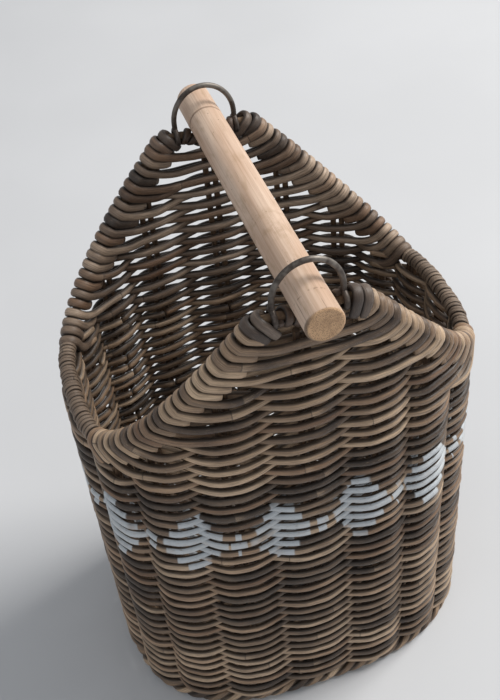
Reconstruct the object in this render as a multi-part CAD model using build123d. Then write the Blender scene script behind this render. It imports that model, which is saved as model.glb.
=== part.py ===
"""Tall rattan basket with two raised gable walls, a forged iron hoop on each gable and a
loose pole handle that runs through both hoops.

Millimetres, +Z up.  X runs along the wide front wall, Y runs from the front gable (-Y) to
the rear gable (+Y).  The origin is under the middle of the basket, on the surface it
stands on.  Each file in parts/ is one separate piece of the basket.
"""
from build123d import *
import math
import os

# ---- driving dimensions -------------------------------------------------------------
WALL_HALF_WIDTH = 155.0       # middle of the wall, along X
WALL_HALF_DEPTH = 117.0       # middle of the wall, along Y
WALL_SQUARENESS = 2.7         # superellipse exponent: 2 is an ellipse, more is squarer
WALL_HALF_THICKNESS = 8.5     # stake plus a strand on each side of it
LOW_RIM_HEIGHT = 330.0        # centre of the side rims above the floor

GABLE_RISE = 130.0            # top of the slope above the side rims
GABLE_FOOT_X = 147.0          # where each slope starts, at a corner
GABLE_TOP_X = 39.0            # where each slope ends, beside a hoop
GABLE_PEAK_X = 32.5           # where the line of the slope reaches its full rise

STAKE_DIAMETER = 5.0
STAKE_PAIR_SPACING = 7.2
GABLE_STAKE_X = {"front": (-113.0, -65.0, -6.0, 51.0, 94.0), "rear": (-104.0, -59.0, 0.0, 59.0, 104.0)}
CORNER_STAKE_X = {"front": (-141.0, 135.0), "rear": (-134.0, 134.0)}
SIDE_STAKE_Y = {"left": (-21.0, 13.0, 47.0), "right": (-45.0, 0.0, 45.0)}

RIM_ROD_DIAMETER = 7.0
SIDE_LASHING_RADIUS = 6.5
SLOPE_WRAP_RADIUS = 7.5
ROD_TO_WRAP_GAP = 0.1
PART_GAP = 0.2                # room left between neighbouring woven pieces
RIM_JOIN_GAP = 5.0            # between the ends of a side rim and a sloping rim

FOOT_HEIGHT = 14.0
FOOT_HALF_THICKNESS = 8.5
BASE_FRAME_DIAMETER = 7.6
BASE_THICKNESS = 10.0
BASE_RECESS = 4.0             # underside of the base above the floor
BASE_STICK_PITCH = 40.0
BASE_STICKS_EACH_SIDE = 3

BAR_DIAMETER = 28.0
BAR_LENGTH = 296.0
BAR_AXIS_RISE = 138.0         # above the side rims
BAR_EDGE_ROUND = 2.0

HOOP_WIRE_DIAMETER = 4.2
HOOP_HALF_WIDTH = 24.4
HOOP_ARCH_HEIGHT = 27.8       # from the tops of its legs to its crown
HOOP_ARCH_RISE = 138.0        # tops of its legs above the side rims
HOOP_EYE_CLEARANCE = 0.4
PEAK_ROD_RISE = 126.5         # level ends of the rod that the hoops' eyes turn on
PEAK_ROD_HALF_LENGTH = 32.0
SADDLE_RISE = 117.0           # the same rod where it dips under the bar
SADDLE_RADIUS = 5.2           # lashing under the bar
HOOP_LASHING_RADIUS = 7.0
HOOP_LASHING_LENGTH = 4.4

OUTLINE_POINTS = 40           # points that carry each closed outline

# ---- sizes worked out from them -----------------------------------------------------
ROD_RADIUS = RIM_ROD_DIAMETER / 2
STAKE_RADIUS = STAKE_DIAMETER / 2
WIRE_RADIUS = HOOP_WIRE_DIAMETER / 2
EYE_RADIUS = ROD_RADIUS + HOOP_EYE_CLEARANCE + WIRE_RADIUS
PEAK_ROD_Z = LOW_RIM_HEIGHT + PEAK_ROD_RISE
SADDLE_Z = LOW_RIM_HEIGHT + SADDLE_RISE
BAR_Z = LOW_RIM_HEIGHT + BAR_AXIS_RISE
WALL_TOP = LOW_RIM_HEIGHT - SLOPE_WRAP_RADIUS - PART_GAP
SLOPE_ANGLE = math.atan2(GABLE_RISE, GABLE_FOOT_X - GABLE_PEAK_X)
GABLE_WEAVE_TOP = SADDLE_Z - SADDLE_RADIUS - PART_GAP
EYE_HALF_SPAN = WIRE_RADIUS + HOOP_EYE_CLEARANCE
SADDLE_HALF_LENGTH = HOOP_HALF_WIDTH - EYE_HALF_SPAN
TALLEST = LOW_RIM_HEIGHT + GABLE_RISE + 60.0
SIDES = {"left": -1, "right": 1}
GABLES = {"front": -1, "rear": 1}


# ---- the line of the wall -----------------------------------------------------------
def wall_normal(x, y):
    """Unit vector out of the wall at a point of its middle line."""
    power = WALL_SQUARENESS - 1
    nx = math.copysign(abs(x / WALL_HALF_WIDTH) ** power / WALL_HALF_WIDTH, x)
    ny = math.copysign(abs(y / WALL_HALF_DEPTH) ** power / WALL_HALF_DEPTH, y)
    length = math.hypot(nx, ny)
    return nx / length, ny / length


def wall_y(x):
    """Distance of the front and rear walls' middle line from the X axis."""
    share = 1 - abs(x / WALL_HALF_WIDTH) ** WALL_SQUARENESS
    return WALL_HALF_DEPTH * share ** (1 / WALL_SQUARENESS)


def wall_x(y):
    """Distance of the side walls' middle line from the Y axis."""
    share = 1 - abs(y / WALL_HALF_DEPTH) ** WALL_SQUARENESS
    return WALL_HALF_WIDTH * share ** (1 / WALL_SQUARENESS)


def outline_points(offset):
    """Points of the wall's plan, moved outwards by offset."""
    power = 2 / WALL_SQUARENESS
    points = []
    for step in range(OUTLINE_POINTS):
        turn = 2 * math.pi * (step + 0.5) / OUTLINE_POINTS
        x = math.copysign(WALL_HALF_WIDTH * abs(math.cos(turn)) ** power, math.cos(turn))
        y = math.copysign(WALL_HALF_DEPTH * abs(math.sin(turn)) ** power, math.sin(turn))
        nx, ny = wall_normal(x, y)
        points.append((x + offset * nx, y + offset * ny))
    return points


def outline_edge(offset, z=0.0):
    return Spline(*[(x, y, z) for x, y in outline_points(offset)], periodic=True)


def outline_face(offset, z=0.0):
    return make_face(outline_edge(offset, z))


def ring(inner, outer, bottom, top):
    """Upright wall between two offsets of the plan."""
    flat_ring = outline_face(outer, bottom) - outline_face(inner, bottom)
    return extrude(flat_ring, amount=top - bottom, dir=(0, 0, 1))


def tube_along(path, radius, bore=0.0):
    section = Circle(radius)
    if bore:
        section = section - Circle(bore)
    return sweep(Plane(origin=path @ 0, z_dir=path % 0) * section, path=path)


def rod_x(x_from, x_to, y, z, radius, bore=0.0):
    """Rod or sleeve that lies along X."""
    section = Circle(radius)
    if bore:
        section = section - Circle(bore)
    return extrude(Plane(origin=(x_from, y, z), z_dir=(1, 0, 0)) * section, amount=x_to - x_from)


def slope_z(x):
    """Height of the gable's rim rod at x."""
    share = (GABLE_FOOT_X - abs(x)) / (GABLE_FOOT_X - GABLE_PEAK_X)
    return LOW_RIM_HEIGHT + GABLE_RISE * share


# ---- foot and base ------------------------------------------------------------------
def make_foot_border():
    return ring(-FOOT_HALF_THICKNESS, FOOT_HALF_THICKNESS, 0, FOOT_HEIGHT)


def base_level():
    return BASE_RECESS + BASE_THICKNESS / 2


def base_frame_offset():
    return -(FOOT_HALF_THICKNESS + PART_GAP + BASE_FRAME_DIAMETER / 2)


def make_base_frame_rod():
    return tube_along(outline_edge(base_frame_offset(), base_level()), BASE_FRAME_DIAMETER / 2)


def base_edge_offset():
    return base_frame_offset() - BASE_FRAME_DIAMETER / 2 - PART_GAP


def base_channels():
    """Lines of the base sticks, each longer than the base is deep."""
    channels = []
    for number in range(-BASE_STICKS_EACH_SIDE, BASE_STICKS_EACH_SIDE + 1):
        start = Plane(origin=(number * BASE_STICK_PITCH, -WALL_HALF_DEPTH, base_level()), z_dir=(0, 1, 0))
        channels.append(extrude(start * Circle(STAKE_RADIUS), amount=2 * WALL_HALF_DEPTH))
    return channels


def make_base_sticks():
    blank = extrude(outline_face(base_edge_offset()), amount=FOOT_HEIGHT, dir=(0, 0, 1))
    return [channel & blank for channel in base_channels()]


def make_base_weave():
    plate = extrude(outline_face(base_edge_offset(), BASE_RECESS), amount=BASE_THICKNESS, dir=(0, 0, 1))
    for channel in base_channels():
        plate = plate - channel
    return plate


# ---- stakes -------------------------------------------------------------------------
def stake_pair(x, y, top):
    """Two upright rods side by side along the wall."""
    nx, ny = wall_normal(x, y)
    rods = []
    for side in (-0.5, 0.5):
        along = side * STAKE_PAIR_SPACING
        spot = Pos(x - ny * along, y + nx * along, FOOT_HEIGHT)
        rods.append(spot * extrude(Circle(STAKE_RADIUS), amount=top - FOOT_HEIGHT))
    return rods


def stake_top(x):
    """Stakes stop under the rim's wrapping, or under the saddle lashing at the peak."""
    under_slope = slope_z(x) - (SLOPE_WRAP_RADIUS + PART_GAP) / math.cos(SLOPE_ANGLE) - STAKE_PAIR_SPACING
    return min(under_slope, SADDLE_Z - SADDLE_RADIUS - PART_GAP)


def make_gable_stakes(name, gable):
    rods = []
    for x in GABLE_STAKE_X[name]:
        rods += stake_pair(x, gable * wall_y(x), stake_top(x))
    return rods


def make_side_stakes(name, side):
    rods = []
    for y in SIDE_STAKE_Y[name]:
        rods += stake_pair(side * wall_x(y), y, WALL_TOP)
    return rods


def make_corner_stakes():
    rods = []
    for name, gable in GABLES.items():
        for x in CORNER_STAKE_X[name]:
            rods += stake_pair(x, gable * wall_y(x), WALL_TOP)
    return rods


# ---- rims ---------------------------------------------------------------------------
def slope_path(side, gable):
    """Line of one sloping rim, round the corner and up to the hoop."""
    points = []
    steps = 8
    for step in range(steps + 1):
        share = 1 - math.cos(step / steps * math.pi / 2)
        x = GABLE_FOOT_X - (GABLE_FOOT_X - GABLE_TOP_X) * share
        points.append((side * x, gable * wall_y(x), slope_z(x)))
    return Spline(*points)


def side_rim_path(side):
    half = wall_y(GABLE_FOOT_X) - RIM_JOIN_GAP
    points = [(side * wall_x(y), y, LOW_RIM_HEIGHT) for y in (-half, -half / 2, 0, half / 2, half)]
    return Spline(*points)


def make_slope_rod(side, gable):
    return tube_along(slope_path(side, gable), ROD_RADIUS)


def make_slope_wrap(side, gable):
    return tube_along(slope_path(side, gable), SLOPE_WRAP_RADIUS, ROD_RADIUS + ROD_TO_WRAP_GAP)


def make_side_rod(side):
    return tube_along(side_rim_path(side), ROD_RADIUS)


def make_side_lashing(side):
    return tube_along(side_rim_path(side), SIDE_LASHING_RADIUS, ROD_RADIUS + ROD_TO_WRAP_GAP)


# ---- peaks, hoops and handle --------------------------------------------------------
def peak_y(gable):
    return gable * (WALL_HALF_DEPTH - 1.0)


def saddle_path(gable):
    """Dip of the peak rod that the bar rests in."""
    y = peak_y(gable)
    level = (1, 0, 0)
    low = (0, y, SADDLE_Z)
    left = (-SADDLE_HALF_LENGTH, y, PEAK_ROD_Z)
    right = (SADDLE_HALF_LENGTH, y, PEAK_ROD_Z)
    return Spline(left, low, right, tangents=(level, level), tangent_scalars=(1, 1))


def make_peak_rod(gable):
    """Rim rod of the peak, level through the hoop's eyes and dipped between them."""
    y = peak_y(gable)
    dip = saddle_path(gable)
    left = Line((-PEAK_ROD_HALF_LENGTH, y, PEAK_ROD_Z), dip @ 0)
    right = Line(dip @ 1, (PEAK_ROD_HALF_LENGTH, y, PEAK_ROD_Z))
    return tube_along(Wire([left, dip, right]), ROD_RADIUS)


def make_saddle_lashing(gable):
    """Wrapping under the bar, between the hoop's two eyes."""
    return tube_along(saddle_path(gable), SADDLE_RADIUS, ROD_RADIUS + ROD_TO_WRAP_GAP)


def make_hoop_lashings(gable):
    """Short wrapping outside each eye, which keeps the hoop in its place."""
    sleeves = []
    near = HOOP_HALF_WIDTH + EYE_HALF_SPAN
    for side in SIDES.values():
        ends = sorted((side * near, side * (near + HOOP_LASHING_LENGTH)))
        sleeves.append(
            rod_x(*ends, peak_y(gable), PEAK_ROD_Z, HOOP_LASHING_RADIUS, ROD_RADIUS + ROD_TO_WRAP_GAP)
        )
    return sleeves


def make_hoop(gable):
    """Iron wire arch whose ends are bent into eyes round the peak rod."""
    y = peak_y(gable)
    eye_top = PEAK_ROD_Z + EYE_RADIUS
    arch_z = LOW_RIM_HEIGHT + HOOP_ARCH_RISE
    right_leg = Line((HOOP_HALF_WIDTH, y, eye_top), (HOOP_HALF_WIDTH, y, arch_z))
    plane = Plane(origin=(0, y, arch_z), x_dir=(1, 0, 0), z_dir=(0, -1, 0))
    arch = plane * EllipticalCenterArc((0, 0), HOOP_HALF_WIDTH, HOOP_ARCH_HEIGHT, start_angle=0, arc_size=180)
    left_leg = Line((-HOOP_HALF_WIDTH, y, arch_z), (-HOOP_HALF_WIDTH, y, eye_top))
    hoop = tube_along(Wire([right_leg, arch, left_leg]), WIRE_RADIUS)
    for side in SIDES.values():
        spot = Plane(origin=(side * HOOP_HALF_WIDTH, y, PEAK_ROD_Z), z_dir=(1, 0, 0))
        hoop = hoop + spot * Torus(EYE_RADIUS, WIRE_RADIUS)
    return hoop


def make_handle_bar():
    start = Plane(origin=(0, -BAR_LENGTH / 2, BAR_Z), z_dir=(0, 1, 0))
    bar = extrude(start * Circle(BAR_DIAMETER / 2), amount=BAR_LENGTH)
    ends = bar.edges().filter_by(GeomType.CIRCLE)
    return fillet(ends, BAR_EDGE_ROUND)


# ---- weave --------------------------------------------------------------------------
def make_body_weave(stakes):
    """Woven wall up to the side rims, with a channel for every stake."""
    wall = ring(-WALL_HALF_THICKNESS, WALL_HALF_THICKNESS, FOOT_HEIGHT, WALL_TOP)
    for rod in stakes:
        wall = wall - rod
    return wall


def make_gable_weave(gable, stakes):
    """Woven wall of one gable, under its two slopes and its peak rod."""
    wall = ring(-WALL_HALF_THICKNESS, WALL_HALF_THICKNESS, WALL_TOP, TALLEST)
    drop = (SLOPE_WRAP_RADIUS + PART_GAP) / math.cos(SLOPE_ANGLE)
    run = (GABLE_FOOT_X - GABLE_PEAK_X) / GABLE_RISE
    foot_x = GABLE_FOOT_X - (WALL_TOP + drop - LOW_RIM_HEIGHT) * run
    top_x = GABLE_FOOT_X - (GABLE_WEAVE_TOP + drop - LOW_RIM_HEIGHT) * run
    corners = [
        (-foot_x, WALL_TOP),
        (foot_x, WALL_TOP),
        (top_x, GABLE_WEAVE_TOP),
        (-top_x, GABLE_WEAVE_TOP),
    ]
    profile = Plane.XZ * make_face(Polyline(*corners, close=True))
    gable_prism = extrude(profile, amount=-gable * 2 * WALL_HALF_DEPTH)
    wall = wall & gable_prism
    for rod in stakes:
        wall = wall - rod
    return wall


# ---- all the pieces -----------------------------------------------------------------
def build_parts():
    parts = {}
    parts["foot_border"] = [make_foot_border()]
    parts["base_frame_rod"] = [make_base_frame_rod()]
    parts["base_sticks"] = make_base_sticks()
    parts["base_weave"] = [make_base_weave()]
    stakes = []
    for name, gable in GABLES.items():
        parts[name + "_stakes"] = make_gable_stakes(name, gable)
        stakes += parts[name + "_stakes"]
    for name, side in SIDES.items():
        parts[name + "_stakes"] = make_side_stakes(name, side)
        stakes += parts[name + "_stakes"]
    parts["corner_stakes"] = make_corner_stakes()
    stakes += parts["corner_stakes"]
    parts["body_weave"] = [make_body_weave(stakes)]
    for name, side in SIDES.items():
        parts[name + "_rim_rod"] = [make_side_rod(side)]
        parts[name + "_rim_lashing"] = [make_side_lashing(side)]
    for name, gable in GABLES.items():
        parts[name + "_gable_weave"] = [make_gable_weave(gable, parts[name + "_stakes"])]
        parts[name + "_peak_rod"] = [make_peak_rod(gable)]
        parts[name + "_saddle_lashing"] = [make_saddle_lashing(gable)]
        parts[name + "_hoop_lashings"] = make_hoop_lashings(gable)
        parts[name + "_hoop"] = [make_hoop(gable)]
        for side_name, side in SIDES.items():
            parts[f"{name}_{side_name}_slope_rod"] = [make_slope_rod(side, gable)]
            parts[f"{name}_{side_name}_slope_wrap"] = [make_slope_wrap(side, gable)]
    parts["handle_bar"] = [make_handle_bar()]
    return parts


def write_parts(parts):
    os.makedirs("parts", exist_ok=True)
    for name, shapes in parts.items():
        solids = [solid for shape in shapes for solid in shape.solids()]
        export_step(Compound(children=solids), f"parts/{name}.step")


write_parts(build_parts())
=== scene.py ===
"""Looks of the rattan basket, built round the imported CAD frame.

Every strand is its own swept piece of cane.  Lengths are in millimetres until a mesh is
made, in the CAD frame: +Z up, X along the wide front wall, the front gable at -Y.
"""
import math

import bpy
import numpy as np
from mathutils import Matrix, Vector


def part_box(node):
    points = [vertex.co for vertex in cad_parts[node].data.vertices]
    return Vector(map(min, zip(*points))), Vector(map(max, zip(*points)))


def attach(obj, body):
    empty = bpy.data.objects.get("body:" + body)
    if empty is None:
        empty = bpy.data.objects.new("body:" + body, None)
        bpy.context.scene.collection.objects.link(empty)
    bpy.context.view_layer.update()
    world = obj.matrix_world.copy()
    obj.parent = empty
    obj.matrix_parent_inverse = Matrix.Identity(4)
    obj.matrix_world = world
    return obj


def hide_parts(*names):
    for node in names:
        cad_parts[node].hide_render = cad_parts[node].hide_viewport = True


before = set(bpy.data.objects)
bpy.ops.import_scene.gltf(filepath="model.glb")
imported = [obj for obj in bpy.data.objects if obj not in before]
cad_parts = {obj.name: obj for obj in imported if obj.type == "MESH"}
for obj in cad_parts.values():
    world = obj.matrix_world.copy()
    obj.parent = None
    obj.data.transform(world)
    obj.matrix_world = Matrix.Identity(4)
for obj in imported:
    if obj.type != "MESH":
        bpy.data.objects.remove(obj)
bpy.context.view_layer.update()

MM = 0.001
TURN = 2 * math.pi
UP = np.array([0.0, 0.0, 1.0])


# ---- sizes taken from the frame ----
def cad_box(node):
    """Lowest and highest corner of a CAD node, in millimetres."""
    low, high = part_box(node)
    return np.array(low) / MM, np.array(high) / MM


def cad_middle(node):
    low, high = cad_box(node)
    return (low + high) / 2


BAR_LOW, BAR_HIGH = cad_box("handle_bar")
PEAK_Y = cad_middle("rear_peak_rod")[1]
ROD_RADIUS = 3.5
PEAK_Z = cad_box("rear_peak_rod")[1][2] - ROD_RADIUS
SADDLE_Z = cad_box("rear_peak_rod")[0][2] + ROD_RADIUS
LOW_RIM = cad_middle("left_rim_rod")[2]
FOOT_TOP = cad_box("foot_border")[1][2]
BASE_LEVEL = cad_middle("base_sticks")[2]
SIDE_RIM_HALF_LENGTH = cad_box("right_rim_rod")[1][1]
HOOP_WIRE_RADIUS = 2.1
HOOP_LOW, HOOP_HIGH = cad_box("front_hoop")
HOOP_HALF_WIDTH = (HOOP_HIGH - HOOP_LOW)[0] / 2 - HOOP_WIRE_RADIUS

# ---- the wall and the rims, as in the CAD source ----
WALL_HALF_WIDTH = 155.0
WALL_HALF_DEPTH = 117.0
WALL_SQUARENESS = 2.7
GABLES = {"front": -1, "rear": 1}
SIDES = {"right": 1, "left": -1}
GABLE_STAKE_X = {"front": (-113.0, -65.0, -6.0, 51.0, 94.0),
                 "rear": (-104.0, -59.0, 0.0, 59.0, 104.0)}
CORNER_STAKE_X = {"front": (-141.0, 135.0), "rear": (-134.0, 134.0)}
SIDE_STAKE_Y = {"left": (-21.0, 13.0, 47.0), "right": (-45.0, 0.0, 45.0)}
GABLE_RISE = 130.0
GABLE_FOOT_X = 147.0
GABLE_PEAK_X = 32.5
RIM_TOP_X = 28.5  # where the strands over the rim end, beside the hoops
BASE_STICK_PITCH = 40.0
BASE_EDGE = 15.0  # edge of the woven base, inwards of the wall's middle line
BASE_SQUARENESS = 2.6

# ---- the weave ----
COURSE_PITCH = 5.35
GABLE_PITCH = {"front": 5.65, "rear": 6.1}  # the gables are woven with broader strands
STRAND_HALF_HEIGHT = 3.2
CROSSING_HALF_HEIGHT = 2.55  # where two strands pass each other between the stakes
STRAND_HALF_THICKNESS = 2.5
WEAVE_OFFSET = 6.4  # middle of a strand, out of the wall's middle line, at a stake
FLAT_HALF_LENGTH = 4.5  # a strand lies straight over a pair of stakes
OUTSIDE_DROP = 0.35  # it lies this much lower outside a stake, and higher inside one
BODY_WIDTHS = (0.9, 1.14)  # shares of the usual width and thickness, drawn for each strand
BODY_THICKNESSES = (0.9, 1.08)
GABLE_WIDTHS = (0.88, 1.1)
GABLE_THICKNESSES = (1.0, 1.15)
OFFSET_WANDER, OFFSET_WAVE = 0.4, 60.0  # wobble of a strand in and out, and its wavelength
BODY_LEVEL_WANDER, GABLE_LEVEL_WANDER, LEVEL_WAVE = 0.9, 0.8, 110.0  # up and down
TUCK_LENGTH, TUCK_DEPTH = 12.0, 1.6  # the ends of a strand turn in behind a stake
BREAK_SHIFT = 4.0  # how far from the middle of a stake a strand may end
BREAK_GAP = 0.8  # from a strand's end to the middle of the gap before the next
SIDE_OVERLAP = 5.0  # the courses under the side rims run this far past the corner stakes
SECTION_POINTS = 10
STRAND_SQUARENESS = 0.94  # 1 is an ellipse, less is more of a rounded rectangle
CUT_WIDTH, CUT_THICKNESS = 0.86, 0.8  # shares of a strand's size left at its cut ends
STEP = 3.3  # spacing of sections along a strand

# ---- strands over the sloping rims ----
WRAP_RADIUS = 6.0  # middle of a strand round a rim rod
RIM_HALF_HEIGHT = 3.5  # a strand is a little broader where it goes over the rim
RIM_BLEND = 16.0  # length over which it takes on that width
RIM_CALM = 25.0  # length over which its wobble dies away before the rim
FIRST_WRAP = 1.0  # place of the first strand over a sloping rim, up from its foot
LAST_WRAP_ROOM = 2.1  # from the last one to the straps, in half widths of a strand
WRAP_SHIFT = 0.7  # how far along the rim a strand may be from its even place
UPRIGHT_LEAN = 0.25  # share of the rim's slope that the front right wraps lean by
RISER_LENGTH = 22.0  # from a course up to the middle of the sloping rim
RISER_BEND = 15.0  # how much of the course the bend into the riser takes
BEND_POINTS = 13
INNER_TAIL, OUTER_TAIL = 18.0, 16.0  # the cut ends of strands below the rim
TAIL_STEP = 2.5

# ---- straps beside the hoops, and windings ----
STRAP_BACK = (2.4, 10.6)  # places of the broad strands beside the hoops, back from the rim's end
STRAP_RADIUS = 6.3  # middle of a strap round the rim rod
STRAP_REACH = 10.0  # how much lower their bend ends than that of a course
STRAP_TAILS = (11.0, 13.0)
STRAP_HALF_WIDTHS = (3.9, 4.1)
STRAP_HALF_THICKNESS = 2.3
SADDLE_BELOW = 5.6  # from the dip of the peak rod down to the topmost course
SADDLE_WRAP_END = 3.4  # from the end of the wraps under the bar out to the hoop's wire
SADDLE_WRAP_SPACING = 6.2
SADDLE_WRAP_RADIUS = 4.3
SADDLE_WRAP_HALF_WIDTH = 2.9
SADDLE_WRAP_HALF_THICKNESS = 0.9
WINDING_SPACING = 3.7  # of the cane round a side rim
WINDING_RADIUS = 5.2
WINDING_HALF_WIDTH, WINDING_HALF_THICKNESS = 1.9, 1.5
FOOT_STRANDS = 3
FOOT_TURN_LENGTH = 46.0  # of one turn of a strand in the foot rope
FOOT_ROPE_RADIUS = 3.3
FOOT_HALF_WIDTH, FOOT_HALF_THICKNESS = 3.4, 3.2

# ---- the base and the pole ----
BASE_WAVE = 3.6  # how far its courses pass over and under the sticks
BASE_HALF_WIDTH, BASE_HALF_THICKNESS = 2.8, 1.5
SHORTEST_BASE_COURSE = 25.0
POLE_EDGE = 2.2  # radius of the worn edge at each end of the pole
POLE_STEP = 1.2
POLE_SPOKES = 72
POLE_END_RINGS = (0.93, 0.8, 0.6, 0.35, 0.12)  # of a cut end, as shares of the radius
GROOVE_AT = 108.0  # joint of the cane, along Y
GROOVE_DEPTH, GROOVE_HALF_WIDTH = 0.75, 0.9
STAIN_AT = 62.0  # middle of a stain, behind the front hoop
RUB_AT = 20.5  # a rubbed line, in from the pole's front end

SEED = 7
rng = np.random.default_rng(SEED)


# ---- the line of the wall ----
def wall_line():
    """Middle line of the wall's plan: arc length, points and outward normals, evenly spaced."""
    turn = np.linspace(-0.25 * TURN, 0.75 * TURN, 16001)
    power = 2 / WALL_SQUARENESS
    x = WALL_HALF_WIDTH * np.sign(np.cos(turn)) * np.abs(np.cos(turn)) ** power
    y = WALL_HALF_DEPTH * np.sign(np.sin(turn)) * np.abs(np.sin(turn)) ** power
    arc = np.concatenate([[0], np.cumsum(np.hypot(np.diff(x), np.diff(y)))])
    even = np.linspace(0, arc[-1], 1801)
    x, y = np.interp(even, arc, x), np.interp(even, arc, y)
    steep = WALL_SQUARENESS - 1
    nx = np.sign(x) * np.abs(x / WALL_HALF_WIDTH) ** steep / WALL_HALF_WIDTH
    ny = np.sign(y) * np.abs(y / WALL_HALF_DEPTH) ** steep / WALL_HALF_DEPTH
    length = np.hypot(nx, ny)
    return even, x, y, nx / length, ny / length


LINE_ARC, LINE_X, LINE_Y, LINE_NX, LINE_NY = wall_line()
PERIMETER = LINE_ARC[-1]
GABLE_MIDDLE = {"front": 0.0, "rear": PERIMETER / 2}


def on_wall(arc, offset, height):
    """Points at an arc length round the wall, an offset outwards and a height, and normals."""
    arc = np.asarray(arc, float) % PERIMETER
    nx, ny = np.interp(arc, LINE_ARC, LINE_NX), np.interp(arc, LINE_ARC, LINE_NY)
    x = np.interp(arc, LINE_ARC, LINE_X) + offset * nx
    y = np.interp(arc, LINE_ARC, LINE_Y) + offset * ny
    points = np.stack([x, y, np.zeros_like(x) + height], axis=1)
    normals = np.stack([nx, ny, np.zeros_like(nx)], axis=1)
    return points, normals


def wall_y(x):
    share = 1 - np.abs(x / WALL_HALF_WIDTH) ** WALL_SQUARENESS
    return WALL_HALF_DEPTH * share ** (1 / WALL_SQUARENESS)


def wall_x(y):
    share = 1 - np.abs(y / WALL_HALF_DEPTH) ** WALL_SQUARENESS
    return WALL_HALF_WIDTH * share ** (1 / WALL_SQUARENESS)


def arc_at(x, y):
    return LINE_ARC[np.argmin(np.hypot(LINE_X - x, LINE_Y - y))]


def stake_arcs():
    arcs = []
    for name, gable in GABLES.items():
        arcs += [arc_at(x, gable * wall_y(x)) for x in GABLE_STAKE_X[name] + CORNER_STAKE_X[name]]
    for name, side in SIDES.items():
        arcs += [arc_at(side * wall_x(y), y) for y in SIDE_STAKE_Y[name]]
    return np.array(sorted(arcs))


STAKE_ARCS = stake_arcs()
STAKE_SPANS = np.concatenate([STAKE_ARCS, [STAKE_ARCS[0] + PERIMETER]])


def weave_side(arc, parity):
    """1 where a course lies outside the stakes, -1 inside them, smooth in between."""
    arc = (np.asarray(arc, float) - STAKE_ARCS[0]) % PERIMETER + STAKE_ARCS[0]
    stake = np.clip(np.searchsorted(STAKE_SPANS, arc, side="right") - 1, 0, len(STAKE_ARCS) - 1)
    span = STAKE_SPANS[stake + 1] - STAKE_SPANS[stake]
    flat = FLAT_HALF_LENGTH / span
    share = np.clip(((arc - STAKE_SPANS[stake]) / span - flat) / (1 - 2 * flat), 0, 1)
    smooth = share * share * (3 - 2 * share)
    return np.where((stake + parity) % 2 == 0, 1.0, -1.0) * (1 - 2 * smooth)


# ---- strands ----
def unit(vectors):
    return vectors / np.linalg.norm(vectors, axis=-1, keepdims=True)


def wander(length, amount, wavelength):
    """Smooth small wobble of a hand-laid strand, at each of its lengths."""
    total = np.zeros_like(length)
    octaves = (1.0, 0.45)
    for octave in octaves:
        phase = rng.uniform(0, TURN)
        stretch = rng.uniform(0.8, 1.3)
        total += octave * np.sin(TURN * length / (wavelength * octave * stretch) + phase)
    return amount * total / sum(octaves)


def at_vertices(rows, *values):
    """Three values for each vertex of a strand."""
    shape = (rows, SECTION_POINTS)
    return np.stack([np.broadcast_to(value, shape) for value in values], axis=-1).reshape(-1, 3)


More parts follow.
